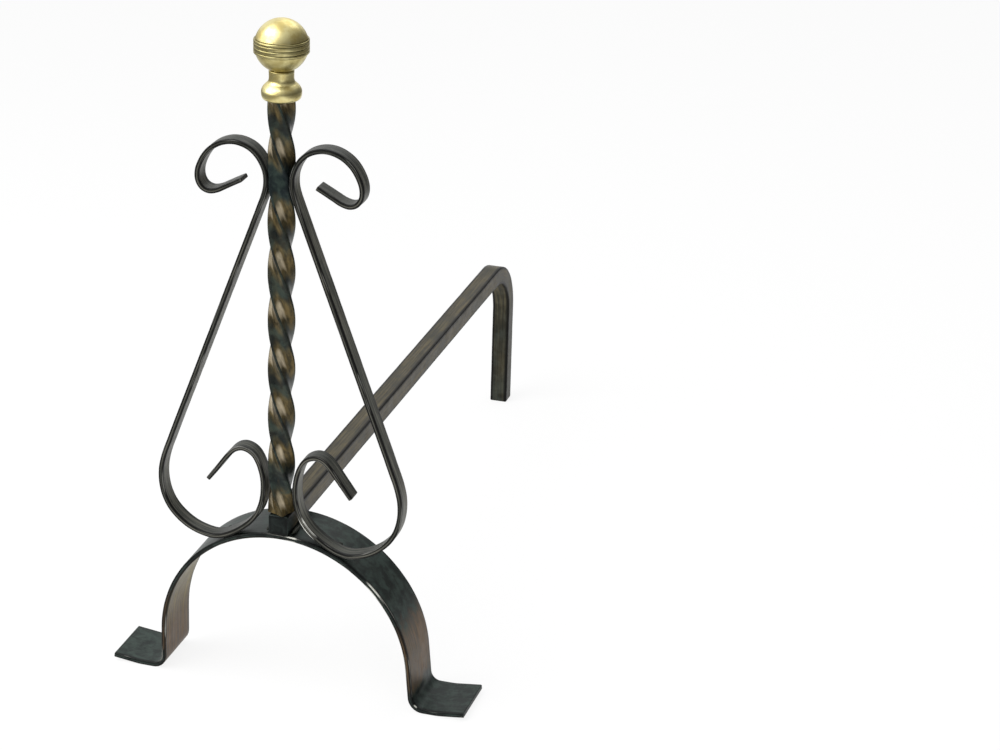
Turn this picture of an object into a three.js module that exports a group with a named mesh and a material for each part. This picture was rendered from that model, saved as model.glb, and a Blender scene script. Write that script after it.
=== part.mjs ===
// Andiron: a scrolled wrought-iron fire dog with a turned brass ball finial.
// Millimetres, +Z up, X across the hearth, -Y the front, floor at Z = 0.
// Pieces are laid out with the post on the Z axis and the log bar running back
// along +Y; the whole is then centred over the origin.
import * as THREE from 'three';

// ---- driving sizes -------------------------------------------------------
const FIT = 0.3; // gap left between pieces that touch
const LOG_BAR = 12.7; // square stock of the log bar and rear leg
const POST_BAR = 12.2; // square stock of the twisted post, corners worn
const FLAT_W = 11; // width of the scroll strip, front to back
const FLAT_T = 3.1; // thickness of the scroll strip
const TIP_T = 2.7; // thickness of the drawn-out strip ends
const TIP_RUN = 26; // length over which an end is drawn out

const STRAP_W = 39.7; // width of the base strap, front to back
const STRAP_T = 3.1; // thickness of the base strap
const STRAP_FRONT_Y = -5.5; // front edge of the base strap
const ARCH_R = 81.1; // outside radius of the arch
const ARCH_TOP_Z = 104.9; // top of the strap at the crown of the arch
const LEG_SPLAY = 3; // degrees the arch legs lean outward
const FOOT_BEND_R = 7.5; // centreline radius of the bend into the foot
const FOOT_FLAT = 7; // flat length of each foot that rests on the floor
const TOE_BEND_R = 40; // gentle bend that lifts the toe
const TOE_LIFT = 7; // degrees the toe is turned up
const TOE_LEN = 14.6; // straight length of the toe
const ARCH_SET = 4.6; // sideways set of the feet relative to the crown

const LOG_FRONT_Y = -6.35; // front end of the log bar
const LOG_REAR_Y = 490; // back face of the rear leg
const LOG_BEND_R = 44; // outside radius of the bend into the rear leg
const POST_H = 258.6; // height of the post on the log bar
const POST_CORNER_R = 1; // corner rounding of the twisted post
const QUARTER_TURN = 30.6; // height of a quarter turn of the twist
const PLAIN_DOWN = 51.9; // plain length of the post starts this far below its top
const PLAIN_H = 7.2; // plain, untwisted length where the scrolls are joined

const COLLAR_R = 11.75; // widest radius of the finial collar
const NECK_R = 7.3; // radius of the finial neck
const COLLAR_H = 17.2; // height of collar and neck together
const BALL_R = 15.65; // radius of the brass ball
const BELT_STAND = 0.4; // height the belt stands proud of the ball
const BELT_HALF = 4.2; // half height of the belt
const GROOVE = 0.55; // depth of the fine grooves turned in the belt
const STUD_R = 3; // radius of the fixing stud
const STUD_DEPTH = 14; // depth of the stud in the post and in the ball

// Right scroll, centreline from the upper tip to the lower tip. Each pair is
// [out from the joint with the post, up from the crown of the arch].
// The left scroll is its mirror image.
const SCROLL_TOP = [
  [15, 222.6], [20.3, 219.8], [25.4, 217], [30, 214.6], [34.9, 213.5],
  [39.1, 214.9], [41.9, 218.8], [42.4, 224.5], [40.3, 231.1], [35.9, 237.8],
  [30.2, 242.3], [24.5, 244.5], [19, 245], [13.6, 243.9], [9, 241.6],
  [5, 237.8], [2.1, 233],
];
const SCROLL_JOIN = [[0.45, 228.2], [0, 223.7], [0.25, 219.8]];
const SCROLL_SLOPE = [[1.6, 214.3], [4.2, 207.1], [23.7, 155.1], [42.4, 105.1], [58.2, 63.1]];
const SCROLL_BELLY = [
  [62.4, 51.6], [65.9, 41.9], [68, 32.6], [68.1, 24], [66.4, 15.4], [62.5, 7.4],
  [56.4, 0.8], [49.4, -3.9], [42.1, -6.6], [35.5, -7.7], [30.8, -7.1], [26.7, -5.7],
  [21.6, -3], [16.2, 0.7], [11, 5.3], [6.9, 10.8], [4.25, 16.6],
];
const SCROLL_FOOT = [[2.7, 23], [2.2, 28.5], [2.35, 34.5], [3.5, 40.5]];
const SCROLL_HOOK = [
  [5.3, 45.6], [8, 50], [11.9, 52.7], [16.3, 53.4], [20.7, 51.6], [24.3, 47.9],
  [31, 38.9], [37.6, 30],
];

// ---- sizes that follow ---------------------------------------------------
const LOG_BOTTOM_Z = ARCH_TOP_Z + FIT;
const LOG_TOP_Z = LOG_BOTTOM_Z + LOG_BAR;
const POST_FOOT_Z = LOG_TOP_Z + FIT;
const POST_TOP_Z = POST_FOOT_Z + POST_H;
const PLAIN_LO_Z = POST_TOP_Z - PLAIN_DOWN;
const PLAIN_HI_Z = PLAIN_LO_Z + PLAIN_H;
const COLLAR_Z = POST_TOP_Z + FIT;
const BALL_SEAT_Z = COLLAR_Z + COLLAR_H + FIT;
const BALL_SEAT_R = NECK_R - FIT;
const BALL_Z = BALL_SEAT_Z + Math.sqrt(BALL_R ** 2 - BALL_SEAT_R ** 2);
const BELT_R = BALL_R + BELT_STAND;
const HOLE_R = STUD_R + FIT;
const STRAP_MID_Y = STRAP_FRONT_Y + STRAP_W / 2;
const ARCH_MID_Z = ARCH_TOP_Z - ARCH_R;
const JOIN_X = POST_BAR / 2 + FIT + FLAT_T / 2;
const SEAT_OUT = 26.7; // where the strip rests on the arch, out from the joint

// ---- finishes ------------------------------------------------------------
const IRON = { color: 0x33362f, roughness: 0.45, metalness: 0.75 };
const BAR_IRON = { color: 0x4a443a, roughness: 0.42, metalness: 0.8 };
const STRIP_IRON = { color: 0x2c302e, roughness: 0.4, metalness: 0.75 };
const BRASS = { color: 0xcdb865, roughness: 0.2, metalness: 1 };
const STUD_STEEL = { color: 0x8d8f90, roughness: 0.4, metalness: 0.9 };
const WELD_IRON = { color: 0x3b3b37, roughness: 0.6, metalness: 0.7 };

const group = new THREE.Group();
group.name = 'andiron';

// ---- building blocks -----------------------------------------------------
function addNode(name, geometry, finish) {
  const mesh = new THREE.Mesh(geometry, new THREE.MeshStandardMaterial(finish));
  mesh.name = name;
  group.add(mesh);
  return mesh;
}

// Rings of equal length joined into one closed skin, flat at both ends.
function loft(rings) {
  const size = rings[0].length;
  const points = rings.flat();
  const faces = [];
  for (let ring = 0; ring < rings.length - 1; ring += 1) {
    for (let i = 0; i < size; i += 1) {
      const a = ring * size + i;
      const b = ring * size + ((i + 1) % size);
      faces.push(a, b, b + size, a, b + size, a + size);
    }
  }
  const last = (rings.length - 1) * size;
  for (let i = 1; i < size - 1; i += 1) {
    faces.push(0, i + 1, i);
    faces.push(last, last + i, last + i + 1);
  }
  return closedGeometry(points, faces);
}

// Indexed triangles; turned right side out when the volume comes out negative.
function closedGeometry(points, faces) {
  let volume = 0;
  for (let i = 0; i < faces.length; i += 3) {
    const [a, b, c] = [points[faces[i]], points[faces[i + 1]], points[faces[i + 2]]];
    volume += a.dot(b.clone().cross(c));
  }
  const index = volume < 0 ? faces.slice().reverse() : faces;
  const flat = points.flatMap((p) => [p.x, p.y, p.z]);
  const geometry = new THREE.BufferGeometry();
  geometry.setAttribute('position', new THREE.Float32BufferAttribute(flat, 3));
  geometry.setIndex(index);
  geometry.computeVertexNormals();
  return geometry;
}

// Rectangle with its corners cut, as [across, up] pairs.
function cutRectangle(width, height, cut) {
  const [w, h] = [width / 2, height / 2];
  return [
    [w - cut, -h], [w, -h + cut], [w, h - cut], [w - cut, h],
    [-w + cut, h], [-w, h - cut], [-w, -h + cut], [-w + cut, -h],
  ];
}

// One cross-section set across a path: side and up are unit vectors.
function ringAt(origin, side, up, section) {
  return section.map(([a, b]) => {
    return origin.clone().addScaledVector(side, a).addScaledVector(up, b);
  });
}

// Path in a plane drawn by headings: lines and arcs, angles in degrees.
function drawPath(start, heading, moves) {
  const stations = [{ x: start[0], z: start[1], angle: heading }];
  let [x, z] = start;
  let angle = heading;
  for (const move of moves) {
    const steps = move.turn ? Math.max(2, Math.ceil(Math.abs(move.turn) / move.step)) : 1;
    const turn = move.turn ? move.turn / steps : 0;
    const chord = move.turn
      ? 2 * move.radius * Math.sin(THREE.MathUtils.degToRad(Math.abs(turn) / 2))
      : move.length;
    for (let i = 0; i < steps; i += 1) {
      const mid = THREE.MathUtils.degToRad(angle + turn / 2);
      x += chord * Math.cos(mid);
      z += chord * Math.sin(mid);
      angle += turn;
      stations.push({ x, z, angle });
    }
  }
  return stations;
}

// ---- base strap ----------------------------------------------------------
// The arch leans a little: the feet are set sideways, the crown is not.
function archSet(z) {
  return ARCH_SET * (1 - z / ARCH_TOP_Z);
}

function baseStrap() {
  const middle = ARCH_R - STRAP_T / 2;
  const down = 90 - LEG_SPLAY;
  const splay = THREE.MathUtils.degToRad(LEG_SPLAY);
  const archDrop = middle * (1 - Math.cos(THREE.MathUtils.degToRad(down)));
  const bendDrop = FOOT_BEND_R * (1 - Math.sin(splay));
  const legDrop = ARCH_TOP_Z - STRAP_T - archDrop - bendDrop;
  const half = drawPath([0, ARCH_TOP_Z - STRAP_T / 2], 0, [
    { radius: middle, turn: -down, step: 4 },
    { length: legDrop / Math.cos(splay) },
    { radius: FOOT_BEND_R, turn: down, step: 12 },
    { length: FOOT_FLAT },
    { radius: TOE_BEND_R, turn: TOE_LIFT, step: 4 },
    { length: TOE_LEN },
  ]);
  const mirrored = half.slice(1).reverse().map((s) => ({ x: -s.x, z: s.z, angle: -s.angle }));
  const section = cutRectangle(STRAP_W, STRAP_T, 0.5);
  const side = new THREE.Vector3(0, 1, 0);
  const shear = ARCH_SET / ARCH_TOP_Z;
  const rings = [...mirrored, ...half].map(({ x, z, angle }) => {
    const a = THREE.MathUtils.degToRad(angle);
    const along = new THREE.Vector3(Math.cos(a) - shear * Math.sin(a), 0, Math.sin(a));
    const up = new THREE.Vector3(-along.z, 0, along.x).normalize();
    return ringAt(new THREE.Vector3(x + archSet(z), STRAP_MID_Y, z), side, up, section);
  });
  return loft(rings);
}

// ---- log bar and rear leg ------------------------------------------------
function logBar() {
  const middle = LOG_BEND_R - LOG_BAR / 2;
  const midZ = (LOG_BOTTOM_Z + LOG_TOP_Z) / 2;
  const path = drawPath([LOG_FRONT_Y, midZ], 0, [
    { length: LOG_REAR_Y - LOG_BEND_R - LOG_FRONT_Y },
    { radius: middle, turn: -90, step: 9 },
    { length: midZ - middle },
  ]);
  const section = cutRectangle(LOG_BAR, LOG_BAR, 0.9);
  const side = new THREE.Vector3(1, 0, 0);
  const rings = path.map(({ x: y, z, angle }) => {
    const a = THREE.MathUtils.degToRad(angle);
    const up = new THREE.Vector3(0, -Math.sin(a), Math.cos(a));
    return ringAt(new THREE.Vector3(0, y, z), side, up, section);
  });
  return loft(rings);
}

// ---- twisted post --------------------------------------------------------
function postAngle(z) {
  if (z < PLAIN_LO_Z) return ((PLAIN_LO_Z - z) / QUARTER_TURN) * 90;
  if (z > PLAIN_HI_Z) return -((z - PLAIN_HI_Z) / QUARTER_TURN) * 90;
  return 0;
}

// How far the turned section of the post reaches front or back, at a height.
function postReach(z) {
  const a = THREE.MathUtils.degToRad(postAngle(z));
  const square = POST_BAR / 2 - POST_CORNER_R;
  return square * (Math.abs(Math.cos(a)) + Math.abs(Math.sin(a))) + POST_CORNER_R;
}

// Square with rounded corners; each flat has extra points so it can twist.
function roundedSquare(size, radius) {
  const half = size / 2;
  const reach = half - radius;
  const diagonal = reach + radius * Math.SQRT1_2;
  const quarter = [
    [half, 0], [half, reach / 2], [half, reach],
    [diagonal, diagonal], [reach, half], [reach / 2, half],
  ];
  const points = [...quarter];
  for (let side = 1; side < 4; side += 1) {
    points.push(...points.slice(-quarter.length).map(([a, b]) => [-b, a]));
  }
  return points;
}

// Circle with the same number of points as another section.
function circleLike(section, radius) {
  return section.map((_, i) => {
    const a = (i / section.length) * Math.PI * 2;
    return [radius * Math.cos(a), radius * Math.sin(a)];
  });
}

function twistedPost() {
  const section = roundedSquare(POST_BAR, POST_CORNER_R);
  const step = QUARTER_TURN / 7;
  const levels = [POST_FOOT_Z];
  const lower = Math.round((PLAIN_LO_Z - POST_FOOT_Z) / step);
  for (let i = 1; i <= lower; i += 1) {
    levels.push(POST_FOOT_Z + ((PLAIN_LO_Z - POST_FOOT_Z) * i) / lower);
  }
  const upper = Math.round((POST_TOP_Z - PLAIN_HI_Z) / step);
  for (let i = 0; i <= upper; i += 1) {
    levels.push(PLAIN_HI_Z + ((POST_TOP_Z - PLAIN_HI_Z) * i) / upper);
  }
  const ringAtLevel = (z, shape, depth = 0) => {
    const a = THREE.MathUtils.degToRad(postAngle(z));
    const side = new THREE.Vector3(Math.cos(a), Math.sin(a), 0);
    const up = new THREE.Vector3(-Math.sin(a), Math.cos(a), 0);
    return ringAt(new THREE.Vector3(0, 0, z - depth), side, up, shape);
  };
  const rings = levels.map((z) => ringAtLevel(z, section));
  const hole = circleLike(section, HOLE_R);
  rings.push(ringAtLevel(POST_TOP_Z, hole));
  rings.push(ringAtLevel(POST_TOP_Z, hole, STUD_DEPTH));
  return loft(rings);
}

// ---- scrolls -------------------------------------------------------------
// Catmull-Rom line through the route, for one hand and one height of its base.
function scrollCurve(route, hand, base) {
  const control = route.map(([x, z]) => {
    return new THREE.Vector3(hand * (JOIN_X + x), 0, base + z);
  });
  return new THREE.CatmullRomCurve3(control, false, 'centripetal');
}

// Lift that leaves the strip FIT above the arch at its nearest point.
function seatLift(route, hand) {
  const reach = ARCH_R + FIT + FLAT_T / 2;
  const belly = scrollCurve(route, hand, ARCH_TOP_Z).getPoints(route.length * 12);
  const lifts = belly.filter((p) => p.z < ARCH_TOP_Z + 20).map((p) => {
    const across = p.x - archSet(p.z);
    return ARCH_MID_Z + Math.sqrt(Math.max(0, reach ** 2 - across ** 2)) - p.z;
  });
  return Math.max(...lifts);
}

function scroll(hand) {
  const route = [
    ...SCROLL_TOP, ...SCROLL_JOIN, ...SCROLL_SLOPE, ...SCROLL_BELLY,
    ...SCROLL_FOOT, ...SCROLL_HOOK,
  ];
  const curve = scrollCurve(route, hand, ARCH_TOP_Z + seatLift(route, hand));
  const length = curve.getLength();
  const spans = route.length - 1;
  const rings = [];
  for (let span = 0; span < spans; span += 1) {
    const chord = curve.points[span].distanceTo(curve.points[span + 1]);
    const parts = chord > 20 ? 2 : 3;
    for (let part = 0; part < parts; part += 1) {
      rings.push(stripRing(curve, (span + part / parts) / spans, length));
    }
  }
  rings.push(stripRing(curve, 1, length));
  return loft(rings);
}

function stripRing(curve, t, length) {
  const along = curve.getTangent(t);
  const up = new THREE.Vector3(-along.z, 0, along.x);
  const ends = Math.min(t, 1 - t) * length;
  const drawn = Math.min(1, ends / TIP_RUN);
  const thickness = TIP_T + (FLAT_T - TIP_T) * drawn;
  const side = new THREE.Vector3(0, 1, 0);
  return ringAt(curve.getPoint(t), side, up, cutRectangle(FLAT_W, thickness, 0.5));
}

// ---- finial --------------------------------------------------------------
function turned(profile, segments = 40) {
  const points = profile.map(([r, z]) => new THREE.Vector2(r, z));
  const geometry = new THREE.LatheGeometry(points, segments);
  geometry.rotateX(Math.PI / 2);
  return geometry;
}

function finialCollar() {
  const swell = (share) => NECK_R + (COLLAR_R - NECK_R) * share;
  const level = (share) => COLLAR_Z + COLLAR_H * share;
  return turned([
    [HOLE_R, level(0)],
    [swell(0.55), level(0)],
    [swell(0.78), level(0.03)],
    [swell(0.91), level(0.085)],
    [swell(0.98), level(0.16)],
    [swell(1), level(0.24)],
    [swell(0.98), level(0.305)],
    [swell(0.89), level(0.37)],
    [swell(0.73), level(0.44)],
    [swell(0.47), level(0.51)],
    [swell(0.2), level(0.575)],
    [swell(0.05), level(0.64)],
    [swell(0), level(0.72)],
    [swell(0), level(1)],
    [HOLE_R, level(1)],
    [HOLE_R, level(0)],
  ]);
}

function finialBall() {
  const onBall = (height) => [Math.sqrt(BALL_R ** 2 - height ** 2), BALL_Z + height];
  const low = BALL_SEAT_Z - BALL_Z;
  const lower = [0.2, 0.42, 0.64, 0.84].map((f) => onBall(low - (BELT_HALF + low) * f));
  const groove = (height) => [
    [BELT_R, BALL_Z + height - GROOVE],
    [BELT_R - GROOVE, BALL_Z + height],
    [BELT_R, BALL_Z + height + GROOVE],
  ];
  const [rim] = onBall(BELT_HALF);
  const belt = [
    [rim - 0.1, BALL_Z - BELT_HALF],
    [BELT_R - 0.15, BALL_Z - BELT_HALF + 0.1],
    [BELT_R, BALL_Z - BELT_HALF + 0.8],
    ...groove(-BELT_HALF / 2),
    ...groove(0),
    ...groove(BELT_HALF / 2),
    [BELT_R, BALL_Z + BELT_HALF - 0.8],
    [BELT_R - 0.15, BALL_Z + BELT_HALF - 0.1],
    [rim - 0.1, BALL_Z + BELT_HALF],
  ];
  const upper = [23, 32, 41, 50, 59, 68, 79].map((degrees) => {
    return onBall(BALL_R * Math.sin(THREE.MathUtils.degToRad(degrees)));
  });
  return turned([
    [0, BALL_SEAT_Z + STUD_DEPTH],
    [HOLE_R, BALL_SEAT_Z + STUD_DEPTH],
    [HOLE_R, BALL_SEAT_Z],
    [BALL_SEAT_R, BALL_SEAT_Z],
    ...lower,
    ...belt,
    ...upper,
    [0, BALL_Z + BALL_R],
  ]);
}

function finialStud() {
  const low = POST_TOP_Z - STUD_DEPTH + FIT;
  const high = BALL_SEAT_Z + STUD_DEPTH - FIT;
  return turned([
    [0, low],
    [STUD_R - 0.6, low],
    [STUD_R, low + 0.6],
    [STUD_R, high - 0.6],
    [STUD_R - 0.6, high],
    [0, high],
  ], 24);
}

// ---- weld beads ----------------------------------------------------------
// A rounded bead: half-sizes along the three axes, set at a centre.
function bead(half, centre) {
  const geometry = new THREE.SphereGeometry(1, 14, 8);
  geometry.rotateX(Math.PI / 2);
  geometry.scale(...half);
  geometry.translate(...centre);
  return geometry;
}

// Height of the arch's outside a distance off it, at X.
function overArch(x, stand) {
  const across = x - archSet(ARCH_TOP_Z - STRAP_T);
  return ARCH_MID_Z + Math.sqrt((ARCH_R + stand) ** 2 - across ** 2);
}

function addWelds() {
  const heel = 1.5;
  const small = 1.2;
  const footBack = Math.max(postReach(POST_FOOT_Z), postReach(POST_FOOT_Z + 2 * heel));
  addNode('weld_post_foot',
    bead([4.4, heel, heel], [0, footBack + FIT + heel, POST_FOOT_Z + heel]), WELD_IRON);
  const barX = LOG_BAR / 2 + FIT + heel;
  const stripBack = FLAT_W / 2 + FIT + small;
  const cornerX = POST_BAR / 2 - POST_CORNER_R;
  const cornerReach = POST_CORNER_R + FIT + small;
  const joinX = cornerX + Math.sqrt(Math.max(0, cornerReach ** 2 - (stripBack - cornerX) ** 2));
  const joinZ = (PLAIN_LO_Z + PLAIN_HI_Z) / 2;
  const seatX = JOIN_X + SEAT_OUT;
  for (const [hand, name] of [[-1, 'left'], [1, 'right']]) {
    const bar = [hand * barX, STRAP_FRONT_Y + 9, overArch(hand * barX, FIT + small)];
    addNode(`weld_bar_${name}`, bead([heel, 7, small - 0.1], bar), WELD_IRON);
    const top = [hand * joinX, stripBack, joinZ];
    addNode(`weld_scroll_top_${name}`, bead([small, small, 3.2], top), WELD_IRON);
    const seat = [hand * seatX, stripBack, overArch(hand * seatX, FIT + heel)];
    addNode(`weld_scroll_seat_${name}`, bead([2.4, small, small], seat), WELD_IRON);
  }
}

// ---- assembly ------------------------------------------------------------
addNode('base_strap', baseStrap(), IRON);
addNode('log_bar', logBar(), BAR_IRON);
addNode('post_twisted', twistedPost(), BAR_IRON);
addNode('scroll_left', scroll(-1), STRIP_IRON);
addNode('scroll_right', scroll(1), STRIP_IRON);
addNode('finial_collar', finialCollar(), BRASS);
addNode('finial_ball', finialBall(), BRASS);
addNode('finial_stud', finialStud(), STUD_STEEL);
addWelds();

// The origin is on the floor, under the middle of the whole andiron.
const middle = new THREE.Box3().setFromObject(group).getCenter(new THREE.Vector3());
group.position.set(-middle.x, -middle.y, 0);

export default group;
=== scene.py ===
import logging
import math
from dataclasses import dataclass
from enum import Enum
from functools import partial
from typing import Callable, Iterator, Optional, Sequence, Union

import bpy
from mathutils import Matrix, Vector, noise


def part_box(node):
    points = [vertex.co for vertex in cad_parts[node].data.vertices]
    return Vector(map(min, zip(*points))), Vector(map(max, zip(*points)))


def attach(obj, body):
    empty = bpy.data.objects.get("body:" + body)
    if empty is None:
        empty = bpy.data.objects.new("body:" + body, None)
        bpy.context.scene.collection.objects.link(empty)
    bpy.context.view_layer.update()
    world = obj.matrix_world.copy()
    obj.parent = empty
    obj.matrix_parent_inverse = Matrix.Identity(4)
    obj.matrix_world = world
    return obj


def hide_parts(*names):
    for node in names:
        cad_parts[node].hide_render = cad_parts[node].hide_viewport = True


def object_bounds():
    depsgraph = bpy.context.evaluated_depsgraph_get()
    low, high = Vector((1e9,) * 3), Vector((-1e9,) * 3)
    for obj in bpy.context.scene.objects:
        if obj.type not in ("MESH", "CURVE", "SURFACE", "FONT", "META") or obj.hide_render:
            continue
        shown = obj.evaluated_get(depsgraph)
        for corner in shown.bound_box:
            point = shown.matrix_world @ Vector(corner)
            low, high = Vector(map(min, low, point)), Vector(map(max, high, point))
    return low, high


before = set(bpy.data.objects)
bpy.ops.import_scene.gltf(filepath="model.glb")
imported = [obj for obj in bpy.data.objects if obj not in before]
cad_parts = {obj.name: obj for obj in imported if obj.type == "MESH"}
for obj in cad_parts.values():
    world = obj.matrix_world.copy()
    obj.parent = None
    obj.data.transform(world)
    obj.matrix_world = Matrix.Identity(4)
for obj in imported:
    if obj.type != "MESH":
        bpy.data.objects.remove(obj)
CAD_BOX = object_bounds()
LOG = logging.getLogger("andiron")
MM = 0.001
BODY = "root"

Socket = bpy.types.NodeSocket
Adder = Callable[..., Optional[Socket]]
Colour = tuple[float, float, float, float]


# ---------------------------------------------------------------- helpers


def linear(hex_code: str) -> Colour:
    """Turns an sRGB hex colour into linear RGBA.

    Args:
        hex_code: six hex digits, with or without a leading hash.

    Returns:
        Linear red, green, blue and an alpha of 1.
    """
    digits = hex_code.lstrip("#")
    channels = [int(digits[i:i + 2], 16) / 255 for i in (0, 2, 4)]
    bright = [c / 12.92 if c <= 0.04045 else ((c + 0.055) / 1.055) ** 2.4 for c in channels]
    return (bright[0], bright[1], bright[2], 1.0)


class Kind(Enum):
    """The nodes in use: type, the sockets that are fed, the output that is read, settings."""

    BLEND = ("Mix", (0, 6, 7), 2, {"data_type": "RGBA"})
    LEVEL = ("Mix", (0, 2, 3), 0, {"data_type": "FLOAT"})
    REMAP = ("MapRange", (0, 1, 2, 3, 4), 0, {"interpolation_type": "SMOOTHSTEP"})
    TIMES = ("Math", (0, 1), 0, {"operation": "MULTIPLY"})
    TIMES_PLUS = ("Math", (0, 1, 2), 0, {"operation": "MULTIPLY_ADD"})
    PLUS = ("Math", (0, 1), 0, {"operation": "ADD"})
    MINUS = ("Math", (0, 1), 0, {"operation": "SUBTRACT"})
    LARGER = ("Math", (0, 1), 0, {"operation": "MAXIMUM"})
    UNSIGNED = ("Math", (0,), 0, {"operation": "ABSOLUTE"})
    DOT = ("VectorMath", (0, 1), 1, {"operation": "DOT_PRODUCT"})
    DISTANCE = ("VectorMath", (0, 1), 1, {"operation": "DISTANCE"})
    X_OF = ("SeparateXYZ", (0,), "X", {})
    Z_OF = ("SeparateXYZ", (0,), "Z", {})
    PLACE = ("TexCoord", (), "Object", {})
    SKY_WAY = ("TexCoord", (), "Generated", {})
    LAY = ("Attribute", (), "Vector", {"attribute_name": "lay"})
    WEAR = ("Attribute", (), "Fac", {"attribute_name": "wear"})
    NORMAL = ("NewGeometry", (), "Normal", {})
    STRETCH = ("Mapping", ("Vector", "Scale"), 0, {})
    CLOUDS = ("TexNoise", ("Vector", "Scale", "Detail", "Roughness", "Distortion"), "Fac", {})
    THREAD = ("TexWave", ("Vector", "Scale"), "Fac", {"bands_direction": "Z"})
    RAMP = ("ValToRGB", (0,), 0, {})
    BUMP = ("Bump", ("Height", "Strength", "Distance"), 0, {})
    METAL = ("BsdfPrincipled", ("Base Color", "Metallic", "Roughness", "Normal",
                                "Specular IOR Level"), 0, {})
    PAPER = ("BsdfDiffuse", ("Color",), 0, {})
    GLOW = ("Emission", ("Color", "Strength"), 0, {})
    MIXED = ("MixShader", (0, 1, 2), 0, {})
    SURFACE = ("OutputMaterial", ("Surface",), None, {})
    CAMERA_RAY = ("LightPath", (), "Is Camera Ray", {})
    GLOSSY_RAY = ("LightPath", (), "Is Glossy Ray", {})
    CLEAR_RAY = ("LightPath", (), "Is Transmission Ray", {})
    SKY = ("Background", ("Color", "Strength"), 0, {})
    ROOM = ("OutputWorld", ("Surface",), None, {})


def add_node(tree: bpy.types.NodeTree, kind: Kind, *inputs: object) -> Optional[Socket]:
    """Adds one node, with its settings, values and links.

    Args:
        tree: the node tree to add to.
        kind: which of the nodes in use it is.
        inputs: for each of the kind's sockets in turn, a value or the socket that feeds it.

    Returns:
        The output that the kind is read by, or None for the last node of a tree.
    """
    type_name, sockets, output, settings = kind.value
    node = tree.nodes.new(f"ShaderNode{type_name}")
    for name, value in settings.items():
        setattr(node, name, value)
    for name, value in zip(sockets, inputs):
        if isinstance(value, Socket):
            tree.links.new(value, node.inputs[name])
        else:
            node.inputs[name].default_value = value
    return None if output is None else node.outputs[output]


def cleared(owner: Union[bpy.types.Material, bpy.types.World]) -> Adder:
    """Clears a material's or a world's nodes, and returns add_node for its tree."""
    owner.use_nodes = True
    owner.node_tree.nodes.clear()
    return partial(add_node, owner.node_tree)


def post_axis() -> Vector:
    """Where the post's axis meets the floor, in metres."""
    low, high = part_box("post_twisted")
    return Vector(((low.x + high.x) / 2, (low.y + high.y) / 2, 0.0))


AXIS = post_axis()


# ---------------------------------------------------------------- shapes


# Edge weight at a bar's ends: the rounded rims and the flat caps take part of the painted
# edge shade and stay below the painted glints.
RIM_SHADE = 0.78
CAP_SHADE = 0.52
# How far in from the rim, as a share, a cap's inner ring lies.
CAP_RING = 0.7
# How much of the forging's wander is lost at the very end.
END_CALM = 0.6


@dataclass(frozen=True)
class SectionPoint:
    """A point on a bar's cross-section, in millimetres, with its outward direction."""

    across: float
    up: float
    normal_across: float
    normal_up: float
    edge: float


@dataclass(frozen=True)
class Section:
    """Rounded rectangular cross-section of a bar or strip, in millimetres.

    The faces can be hollowed. The edge weight, which sets the painted edge shade and the
    painted glints, fades from each corner over its reach, after the corner and before the
    next one.
    """

    width: float
    height: float
    corner: float
    hollow: float = 0.0
    corner_steps: int = 4
    spacing: float = 1.6
    reach_after: float = 0.7
    reach_before: float = 0.7

    def points(self, inset: float = 0.0) -> list[SectionPoint]:
        """The outline's points.

        Args:
            inset: how far the whole outline is drawn in, for a rounded end.

        Returns:
            The points, anticlockwise.
        """
        half_w, half_h = self.width / 2 - inset, self.height / 2 - inset
        radius = min(max(self.corner - inset, 0.12), half_w, half_h)
        found: list[SectionPoint] = []
        for corner in range(4):
            start = corner * math.pi / 2
            cx = (half_w - radius) * (1 if corner in (0, 3) else -1)
            cy = (half_h - radius) * (1 if corner in (0, 1) else -1)
            for step in range(self.corner_steps + 1):
                angle = start + math.pi / 2 * step / self.corner_steps
                nx, ny = math.cos(angle), math.sin(angle)
                found.append(SectionPoint(cx + radius * nx, cy + radius * ny, nx, ny, 1.0))
            flat = 2 * (half_w - radius if corner in (0, 2) else half_h - radius)
            whole = 2 * ((self.width if corner in (0, 2) else self.height) / 2 - self.corner)
            count = max(1, round(whole / self.spacing))
            angle = start + math.pi / 2
            nx, ny = round(math.cos(angle)), round(math.sin(angle))
            last = found[-1]
            for step in range(1, count + 1):
                share = step / (count + 1)
                dip = self.hollow * math.sin(math.pi * share) ** 2
                x = last.across - ny * flat * share - nx * dip
                y = last.up + nx * flat * share - ny * dip
                edge = max(math.exp(-share * flat / self.reach_after),
                           math.exp(-(1 - share) * flat / self.reach_before))
                found.append(SectionPoint(x, y, nx, ny, edge))
        return found


class Path:
    """A line in space, in millimetres, that a bar follows."""

    def __init__(self, points: Sequence[Vector]) -> None:
        """Keeps the points and how far along each one is."""
        self.points = list(points)
        self.runs = [0.0]
        for before, after in zip(self.points, self.points[1:]):
            self.runs.append(self.runs[-1] + (after - before).length)

    @property
    def length(self) -> float:
        """The line's whole length."""
        return self.runs[-1]

    def place(self, run: float) -> Vector:
        """The point a distance along the line."""
        if run <= 0:
            return self.points[0] + (self.points[0] - self.points[1]).normalized() * -run
        low, high = 0, len(self.runs) - 1
        while high - low > 1:
            middle = (low + high) // 2
            if self.runs[middle] <= run:
                low = middle
            else:
                high = middle
        gap = self.runs[high] - self.runs[low]
        return self.points[low].lerp(self.points[high], min(1.0, (run - self.runs[low]) / gap))

    def heading(self, run: float, reach: float = 0.8) -> Vector:
        """The line's direction a distance along it, as a unit vector."""
        low, high = max(0.0, run - reach), min(self.length, run + reach)
        return (self.place(high) - self.place(low)).normalized()


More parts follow.
